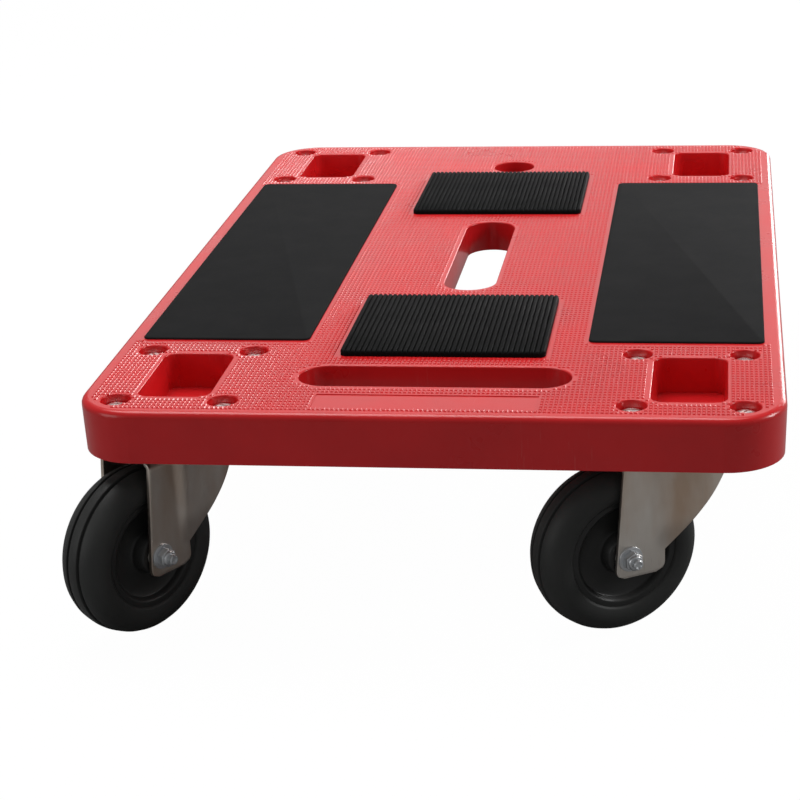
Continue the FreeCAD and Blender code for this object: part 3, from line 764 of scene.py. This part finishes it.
class DOLLY_OT_deck_screws(bpy.types.Operator):
    """Give the slotted screws in the deck's wells their finish"""

    bl_idname = "dolly.deck_screws"
    bl_label = "Deck screws"

    def execute(self, context):
        for corner in CORNERS:
            # The screws get zinc whose pink tint is a painted reflection of the red deck.
            dress(f"deck_screws_{corner}", "screw_zinc_with_painted_reflection")
        return {"FINISHED"}


class DOLLY_OT_tyres(bpy.types.Operator):
    """Turn the solid tyres with their tread ribs"""

    bl_idname = "dolly.tyres"
    bl_label = "Tyres"

    def execute(self, context):
        for corner in CORNERS:
            caster = Caster(corner)
            low, high = caster.reach_along_axle("tyre")
            radius = caster.axle_height
            half = (high - low) / 2
            inner = caster.radius_of("wheel_rim")
            tyre = put(self.turned(radius, half, inner), caster.axle_space)
            new_piece(f"tyre_rubber_{corner}", tyre, caster.wheel_body, finish("tyre_rubber"),
                      smooth=60.0, replaces=[caster.node("tyre")])
        return {"FINISHED"}

    def turned(self, radius, half, inner):
        """Closed tyre section spun about the axle."""
        side = (
            (inner, half - 2.1 * MM), (inner + 1.3 * MM, half - 1.0 * MM),
            (inner + 4.0 * MM, half - 0.2 * MM), (inner + 7.5 * MM, half),
            (radius - 7.4 * MM, half - 0.8 * MM), (radius - 4.6 * MM, half - 2.6 * MM),
            (radius - 2.5 * MM, half - 5.2 * MM), (radius - 1.1 * MM, half - 8.4 * MM),
            (radius - 0.65 * MM, half - 10.5 * MM), (radius - 2.3 * MM, half - 10.9 * MM),
            (radius - 2.3 * MM, half - 12.4 * MM), (radius - 0.25 * MM, half - 12.8 * MM),
            (radius, half - 14.8 * MM),
        )
        profile, rounds = mirrored(side, (1, 8, 9, 10, 11), 0.4 * MM)
        return lathe(profile, 112, rounds=rounds)


class DOLLY_OT_rims(bpy.types.Operator):
    """Turn the plastic wheel centres"""

    bl_idname = "dolly.rims"
    bl_label = "Wheel centres"

    flange_inset = 2.0 * MM     # side of the tyre to the edge of the band

    def execute(self, context):
        for corner in CORNERS:
            caster = Caster(corner)
            low, high = caster.reach_along_axle("wheel_rim")
            tyre_low, tyre_high = caster.reach_along_axle("tyre")
            hub_half = (high - low) / 2
            band_half = (tyre_high - tyre_low) / 2 - self.flange_inset
            bore = caster.radius_of("wheel_bush")
            outer = caster.radius_of("wheel_rim")
            rim = put(self.turned(bore, outer, hub_half, band_half), caster.axle_space)
            new_piece(f"rim_{corner}", rim, caster.wheel_body, finish("rim_plastic"), smooth=45.0,
                      replaces=[caster.node("wheel_rim")])
        return {"FINISHED"}

    def turned(self, bore, outer, hub_half, band_half):
        """Hub, dished web and band as one closed section."""
        side = (
            (bore, hub_half), (bore + 3.4 * MM, hub_half), (bore + 4.3 * MM, hub_half - 1.1 * MM),
            (bore + 5.3 * MM, 9.5 * MM), (bore + 7.2 * MM, 8.6 * MM),
            (outer - 7.6 * MM, 9.4 * MM), (outer - 5.3 * MM, 10.4 * MM),
            (outer - 4.2 * MM, band_half - 1.1 * MM), (outer - 3.0 * MM, band_half),
            (outer, band_half),
        )
        profile, rounds = mirrored(side, (1, 3, 6, 8), 0.5 * MM)
        return lathe(profile, 96, rounds=rounds)


class DOLLY_OT_forks(bpy.types.Operator):
    """Press the caster forks from sheet steel"""

    bl_idname = "dolly.forks"
    bl_label = "Forks"

    across = 30     # faces from the trailing to the leading edge
    around = 96     # faces from the foot of one leg over the crown to the other foot

    # Outline of a leg, from the axle or the swivel axis
    below_axle = 12.0 * MM
    behind_axle = 9.0 * MM
    rear_taper = 5.8 * MM       # how much the trailing edge comes in towards the crown
    crown_dip = 5.5 * MM        # how much the crown's trailing edge is hollowed
    heel_ahead = 22.5 * MM      # leading edge ahead of the axle, at the foot
    heel_height = 13.0 * MM
    shoulder_ahead = 17.5 * MM  # leading edge ahead of the swivel axis, at the crown
    shoulder_height = 9.5 * MM
    bulge = 0.30                # bow of the leading edge between heel and shoulder
    foot_corner = 5.6 * MM

    # Pressed front of a leg
    crease_place = 36.0 * MM    # from the swivel axis
    crease_width = 7.0 * MM
    fade_start = 11.0 * MM      # above the foot
    fade_height = 21.0 * MM
    wrap_start = 3.0 * MM
    wrap_width = 20.5 * MM
    wrap_depth = 6.0 * MM

    def execute(self, context):
        settings = context.scene.dolly_casters
        for corner in CORNERS:
            caster = Caster(corner)
            sheet = self.pressed_sheet(settings, caster)
            new_piece(f"fork_sheet_{corner}", put(sheet, caster.fork_space), caster.fork_body,
                      finish("zinc_sheet"), smooth=38.0, replaces=[caster.node("fork")])
            race = put(self.race_dish(caster), caster.fork_space)
            new_piece(f"fork_race_{corner}", race, caster.fork_body, finish("zinc_plate"),
                      smooth=38.0)
        return {"FINISHED"}

    def race_dish(self, caster):
        """Dished race under the top plate."""
        top = caster.fork_top
        bore, rim = 5.06 * MM, 26.4 * MM
        groove = ((19.2, 0.0), (19.6, 0.92), (20.4, 1.65), (21.6, 1.96), (22.8, 1.65),
                  (23.6, 0.92), (24.0, 0.0))
        profile = [(bore, top - 2.5 * MM), (17.0 * MM, top - 2.5 * MM), (18.2 * MM, top)]
        profile += [(radius * MM, top - depth * MM) for radius, depth in groove]
        profile += [(rim - 1.2 * MM, top), (rim, top - 1.2 * MM), (rim, top - 3.8 * MM),
                    (rim - 1.2 * MM, top - 5.0 * MM), (bore, top - 5.0 * MM)]
        return lathe(profile, 72, rounds=[(len(profile) - 3, 0.8 * MM)])

    def pressed_sheet(self, settings, caster):
        """Sheet bent over the wheel, with raked legs, drawn in the fork's own space."""
        made = bmesh.new()
        bmesh.ops.create_grid(made, x_segments=self.around, y_segments=self.across, size=0.5)
        for vert in made.verts:
            vert.co = self.on_fork(settings, caster, vert.co.x * 2, vert.co.y + 0.5)
        bmesh.ops.recalc_face_normals(made, faces=made.faces)
        top = max(made.faces, key=lambda face: face.calc_center_median().z)
        if top.normal.z < 0:
            bmesh.ops.reverse_faces(made, faces=made.faces)
        bmesh.ops.solidify(made, geom=made.faces, thickness=settings.sheet)
        bevel_edges(made, sharp_edges(made, 60.0), 0.5 * MM, 2)
        return made

    def on_fork(self, settings, caster, turn, forward):
        """Place on the outer face: turn runs from -1 to 1 over the crown, forward from 0 to 1."""
        side = 1.0 if turn >= 0 else -1.0
        top = caster.fork_top
        half = caster.leg_inner + settings.sheet
        bend = settings.fork_bend
        sole = caster.axle_height - self.below_axle
        leg = top - bend - sole
        arc = bend * math.pi / 2
        flat = half - bend
        run = (1.0 - abs(turn)) * (leg + arc + flat)
        if run < leg:
            height = sole + run
            sideways = half
        elif run < leg + arc:
            angle = (run - leg) / bend
            height = top - bend + bend * math.sin(angle)
            sideways = half - bend + bend * math.cos(angle)
        else:
            height = top
            sideways = flat - (run - leg - arc)
        rear, front = self.leg_reach(caster, height, sole, top)
        if height >= top:
            rear -= self.crown_dip * (1.0 - (sideways / flat) ** 2)
        along = rear + (front - rear) * forward
        sideways += self.press(settings, along, height, sole) * min(1.0, sideways / half)
        return Vector((along, side * sideways, height))

    def leg_reach(self, caster, height, sole, top):
        """Trailing and leading edge of a leg at a height."""
        rake = caster.rake
        share = (height - sole) / (top - sole)
        rear = rake + self.behind_axle - self.rear_taper * share
        heel = rake - self.heel_ahead
        slope = top - sole - self.heel_height - self.shoulder_height
        rise = min(1.0, max(0.0, (height - sole - self.heel_height) / slope))
        bowed = rise + self.bulge * rise * (1.0 - rise)
        front = heel - (self.shoulder_ahead + heel) * bowed
        low = self.foot_corner - (height - sole)
        if low > 0.0:
            cut = self.foot_corner - math.sqrt(max(0.0, self.foot_corner ** 2 - low ** 2))
            rear -= cut
            front += cut
        return rear, front

    def press(self, settings, along, height, sole):
        """Outward set of the leg's pressed front half, and its wrap towards the crown."""
        raised = min(1.0, max(0.0, (self.crease_place - along) / self.crease_width))
        raised = raised * raised * (3.0 - 2.0 * raised)
        fade = min(1.0, max(0.0, (height - sole - self.fade_start) / self.fade_height))
        fade = fade * fade * (3.0 - 2.0 * fade)
        wrap = max(0.0, self.wrap_start - along) / self.wrap_width
        return (settings.crease * raised - self.wrap_depth * wrap * wrap) * fade


class DOLLY_OT_axles(bpy.types.Operator):
    """Make the axle bolts, lock nuts and washers"""

    bl_idname = "dolly.axles"
    bl_label = "Axle fittings"

    shank_radius = 3.0 * MM
    washer_radius = 7.5 * MM
    collar_radius = 4.5 * MM
    hexagon_share = 0.72        # height of the hexagon below the nut's collar

    def execute(self, context):
        settings = context.scene.dolly_casters
        for corner in CORNERS:
            caster = Caster(corner)
            bolt_low, bolt_high = caster.reach_along_axle("axle_bolt")
            nut_low, nut_high = caster.reach_along_axle("axle_nut")
            washer_low, washer_high = caster.reach_along_axle("axle_washers")
            face = caster.leg_inner + settings.sheet
            self.add(caster, "axle_washers", self.washers(face, washer_high))
            self.add(caster, "axle_nut", self.lock_nut(settings.nut_flats, nut_low, nut_high))
            self.add(caster, "axle_bolt",
                     self.bolt(settings.nut_flats, bolt_low, washer_low, bolt_high))
        return {"FINISHED"}

    def add(self, caster, piece, made):
        """Put one fitting on the axle."""
        new_piece(f"{piece}_steel_{caster.corner}", put(made, caster.axle_space),
                  caster.fork_body, finish("bright_steel"), smooth=35.0,
                  replaces=[caster.node(piece)])

    def washers(self, inner, outer):
        """Washers outside both legs."""
        made = bmesh.new()
        bore, rim = self.shank_radius, self.washer_radius
        profile = ((bore, inner), (rim, inner), (rim, outer), (bore, outer))
        join_into(made, lathe(profile, 48, rounds=[(2, 0.35 * MM)]))
        far = lathe(profile, 48, rounds=[(2, 0.35 * MM)])
        put(far, Matrix.Rotation(math.pi, 4, "X"))
        join_into(made, far)
        return made

    def hexagon(self, flats, low, high, chamfer_low, chamfer_high):
        """Hexagonal prism with chamfered corners."""
        made = bmesh.new()
        radius = flats / math.sqrt(3)
        bmesh.ops.create_cone(made, cap_ends=True, segments=6, radius1=radius, radius2=radius,
                              depth=high - low)
        bmesh.ops.translate(made, vec=(0, 0, (low + high) / 2), verts=made.verts)
        rims = []
        for edge in made.edges:
            height = sum(v.co.z for v in edge.verts) / 2
            if chamfer_low and abs(height - low) < 0.05 * MM:
                rims.append(edge)
            if chamfer_high and abs(height - high) < 0.05 * MM:
                rims.append(edge)
        bevel_edges(made, rims, 0.7 * MM, 3)
        bevel_edges(made, sharp_edges(made, 50.0), 0.25 * MM, 2)
        return made

    def lock_nut(self, flats, low, high):
        """Nut with a rounded collar over its locking ring."""
        shoulder = low + (high - low) * self.hexagon_share
        made = self.hexagon(flats, low, shoulder, False, True)
        bore, rim = self.shank_radius, self.collar_radius
        profile = ((bore, shoulder - 0.4 * MM), (rim, shoulder - 0.4 * MM),
                   (rim, high - 0.8 * MM), (rim - 0.6 * MM, high), (bore, high))
        join_into(made, lathe(profile, 48, rounds=[(2, 0.4 * MM), (3, 0.3 * MM)]))
        return made

    def bolt(self, flats, low, face, end):
        """Hexagon head on one side, dished shank end on the other."""
        made = self.hexagon(flats, low, face, True, False)
        shank = self.shank_radius
        profile = ((0.0, face - 0.2 * MM), (shank, face - 0.2 * MM), (shank, end - 0.6 * MM),
                   (2.5 * MM, end), (1.9 * MM, end), (1.4 * MM, end - 0.8 * MM),
                   (0.0, end - 0.9 * MM))
        join_into(made, lathe(profile, 40, closed=False))
        return made


class DOLLY_OT_stage(bpy.types.Operator):
    """Set the floor, the lights and the camera"""

    bl_idname = "dolly.stage"
    bl_label = "Stage"

    def execute(self, context):
        settings = context.scene.dolly_stage
        self.floor()
        self.world(context)
        power = settings.key_power
        self.softbox("key", (-0.3, 0.5, 2.0), (0.0, 0.0, 0.1), 1.7, 1.3, power * 1.35)
        self.softbox("rear", (0.0, 2.7, 1.05), (0.0, 0.0, 0.12), 3.4, 0.9, power * 0.28)
        self.softbox("rim", (1.1, 2.5, 0.45), (0.0, 0.0, 0.13), 1.0, 0.45, power * 0.55)
        self.softbox("right", (2.0, 0.2, 1.1), (0.0, 0.0, 0.12), 0.7, 0.7, power * 0.75)
        self.softbox("left", (-1.7, -1.5, 0.7), (0.0, 0.0, 0.07), 1.2, 0.8, power * 0.24)
        self.camera(context, settings)
        context.scene.view_settings.view_transform = "Standard"
        return {"FINISHED"}

    def floor(self):
        """Plain pale floor."""
        made = bmesh.new()
        bmesh.ops.create_grid(made, x_segments=1, y_segments=1, size=30.0)
        mesh = bpy.data.meshes.new("floor")
        made.to_mesh(mesh)
        made.free()
        mesh.materials.append(self.floor_paint())
        ground = bpy.data.objects.new("floor", mesh)
        bpy.context.scene.collection.objects.link(ground)

    def floor_paint(self):
        """White floor that throws little light back up, and is clear from below."""
        paint = Finish("floor_paint")
        paint.set(Roughness=0.9, Specular_IOR_Level=0.1)
        speckle = noise(paint.tree, paint.vector, 60.0, 3.0, 0.5)
        paint.link(mix_colour(paint.tree, speckle, (0.26, 0.26, 0.26), (0.28, 0.28, 0.28)),
                   "Base Color")
        nodes = paint.tree.nodes
        glow = nodes.new("ShaderNodeEmission")
        glow.inputs["Strength"].default_value = 1.05
        both = nodes.new("ShaderNodeMixShader")
        seen = nodes.new("ShaderNodeLightPath").outputs["Is Camera Ray"]
        paint.tree.links.new(remap(paint.tree, seen, 0.0, 1.0, 0.0, 0.94), both.inputs["Fac"])
        paint.tree.links.new(paint.shader.outputs["BSDF"], both.inputs[1])
        paint.tree.links.new(glow.outputs["Emission"], both.inputs[2])
        under = nodes.new("ShaderNodeMixShader")
        clear = nodes.new("ShaderNodeBsdfTransparent")
        side = nodes.new("ShaderNodeNewGeometry").outputs["Backfacing"]
        paint.tree.links.new(side, under.inputs["Fac"])
        paint.tree.links.new(both.outputs["Shader"], under.inputs[1])
        paint.tree.links.new(clear.outputs["BSDF"], under.inputs[2])
        paint.tree.links.new(under.outputs["Shader"],
                             nodes["Material Output"].inputs["Surface"])
        return paint.material

    def world(self, context):
        """Even pale surroundings, dimmer as light than as backdrop."""
        world = bpy.data.worlds.new("studio")
        world.use_nodes = True
        tree = world.node_tree
        background = tree.nodes["Background"]
        background.inputs["Color"].default_value = (1.0, 1.0, 1.0, 1.0)
        seen = tree.nodes.new("ShaderNodeLightPath").outputs["Is Camera Ray"]
        tree.links.new(remap(tree, seen, 0.0, 1.0, 0.21, 1.0), background.inputs["Strength"])
        context.scene.world = world

    def softbox(self, name, place, target, width, height, power):
        """Rectangular area light that faces a target."""
        light = bpy.data.lights.new(name, "AREA")
        light.shape = "RECTANGLE"
        light.size = width
        light.size_y = height
        light.energy = power
        lamp = bpy.data.objects.new(name, light)
        lamp.location = place
        aim = Vector(target) - Vector(place)
        lamp.rotation_euler = aim.to_track_quat("-Z", "Y").to_euler()
        lamp.visible_camera = False
        bpy.context.scene.collection.objects.link(lamp)

    def camera(self, context, settings):
        """Camera a little above the front edge, right of the middle."""
        lens = bpy.data.cameras.new("camera")
        lens.lens = settings.lens
        lens.sensor_width = 36.0
        lens.shift_x = settings.shift_across
        lens.shift_y = settings.shift_up
        lens.clip_start = 0.01
        camera = bpy.data.objects.new("camera", lens)
        camera.location = settings.camera_place
        camera.rotation_euler = Euler(settings.camera_turn, "XYZ")
        context.scene.collection.objects.link(camera)
        context.scene.camera = camera


class DOLLY_PT_panel(bpy.types.Panel):
    """Buttons for every group of pieces"""

    bl_label = "Furniture Dolly"
    bl_idname = "DOLLY_PT_panel"
    bl_space_type = "VIEW_3D"
    bl_region_type = "UI"
    bl_category = "Dolly"

    def draw(self, context):
        for operator in OPERATORS:
            self.layout.operator(operator.bl_idname)
        for name in SETTINGS:
            group = getattr(context.scene, name)
            box = self.layout.box()
            for key in group.__annotations__:
                box.prop(group, key)


OPERATORS = (DOLLY_OT_finishes, DOLLY_OT_grip_studs, DOLLY_OT_side_pads, DOLLY_OT_ribbed_pads,
             DOLLY_OT_deck_screws, DOLLY_OT_tyres, DOLLY_OT_rims, DOLLY_OT_forks,
             DOLLY_OT_axles, DOLLY_OT_stage)
SETTINGS = {"dolly_deck": DollyDeckSettings, "dolly_pads": DollyPadSettings,
            "dolly_casters": DollyCasterSettings, "dolly_finish": DollyFinishSettings,
            "dolly_stage": DollyStageSettings}


def register():
    """Register the classes and hang the settings on the scene."""
    for group in SETTINGS.values():
        bpy.utils.register_class(group)
    for operator in OPERATORS:
        bpy.utils.register_class(operator)
    bpy.utils.register_class(DOLLY_PT_panel)
    for name, group in SETTINGS.items():
        setattr(bpy.types.Scene, name, PointerProperty(type=group))


def unregister():
    """Undo register."""
    for name in SETTINGS:
        delattr(bpy.types.Scene, name)
    bpy.utils.unregister_class(DOLLY_PT_panel)
    for operator in reversed(OPERATORS):
        bpy.utils.unregister_class(operator)
    for group in reversed(list(SETTINGS.values())):
        bpy.utils.unregister_class(group)


def main():
    register()
    for operator in OPERATORS:
        group, name = operator.bl_idname.split(".")
        getattr(getattr(bpy.ops, group), name)()


if __name__ == "__main__":
    main()
